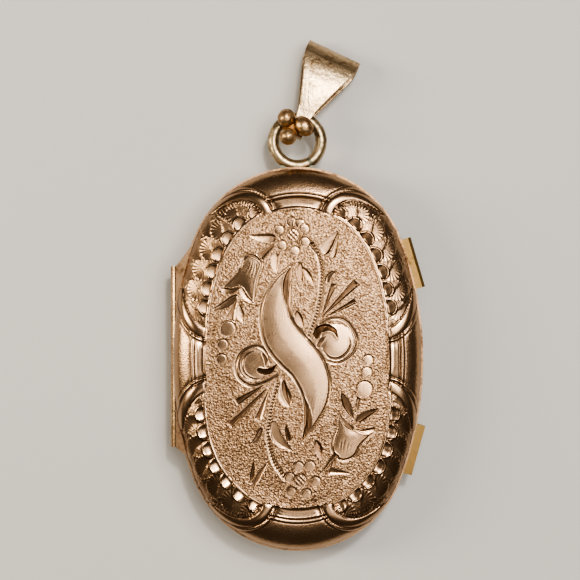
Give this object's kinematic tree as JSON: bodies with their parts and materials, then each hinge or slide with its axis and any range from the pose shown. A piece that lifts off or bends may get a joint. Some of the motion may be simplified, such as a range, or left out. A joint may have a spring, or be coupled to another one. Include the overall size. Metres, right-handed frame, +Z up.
{
  "type": "locket",
  "caption": "Oval hinged locket with a chased domed front, snap closure, nail lips, a fixed suspension ring and a folded tapered bail.",
  "frame": {"origin": "centre of the back's flat oval resting panel", "axes": "+X away from the hinge, +Y along the case towards the bail, +Z up through the engraved face"},
  "size_m": [0.0254, 0.0513, 0.0068],
  "materials": {
    "cover_gold": "chased and satin rose gold, polished in places",
    "frame_gold": "polished rose gold, worn",
    "hinge_gold": "worn rose gold with dark dirt in the joints",
    "pin_metal": "dull drawn wire",
    "nail_lip_gold": "polished rose gold, rubbed",
    "bezel_gold": "polished rose gold",
    "clear_lens": "clear, slightly warm",
    "picture_card": "matt, aged",
    "solder": "dull greenish grey",
    "ring_gold": "pale worn gold",
    "bail_gold": "satin pale rose gold",
    "bead_gold": "polished beads with dark joints"
  },
  "bodies": {
    "back": {"back_cover": "cover_gold", "back_knuckle_high": "hinge_gold", "back_knuckle_low": "hinge_gold", "back_knuckle_middle": "hinge_gold", "back_nail_lip": "nail_lip_gold", "back_photo_bezel": "bezel_gold", "back_photo_card": "picture_card", "back_photo_lens": "clear_lens", "back_rim": "frame_gold", "hinge_pin": "pin_metal", "ring_joint_solder": "solder", "ring_seat_solder": "solder", "snap_lip": "frame_gold", "suspension_ring": "ring_gold"},
    "front": {"front_cover": "cover_gold", "front_knuckle_high": "hinge_gold", "front_knuckle_low": "hinge_gold", "front_nail_lip": "nail_lip_gold", "front_photo_bezel": "bezel_gold", "front_photo_card": "picture_card", "front_photo_lens": "clear_lens", "front_rim": "frame_gold"},
    "bail": {"bead_bottom": "bead_gold", "bead_left": "bead_gold", "bead_right": "bead_gold", "bail": "bail_gold", "trefoil_plate": "bead_gold"}
  },
  "joints": [
    {"name": "front_hinge", "type": "hinge", "parent": "back", "child": "front", "pos_m": [-0.01205, 0, 0.0034], "axis": [0, -1, 0], "range_deg": [0, 115]},
    {"name": "bail_swing", "type": "hinge", "parent": "back", "child": "bail", "pos_m": [0, 0.02172, 0.00275], "axis": [0, 0, 1], "range_deg": [-70, 95]}
  ]
}
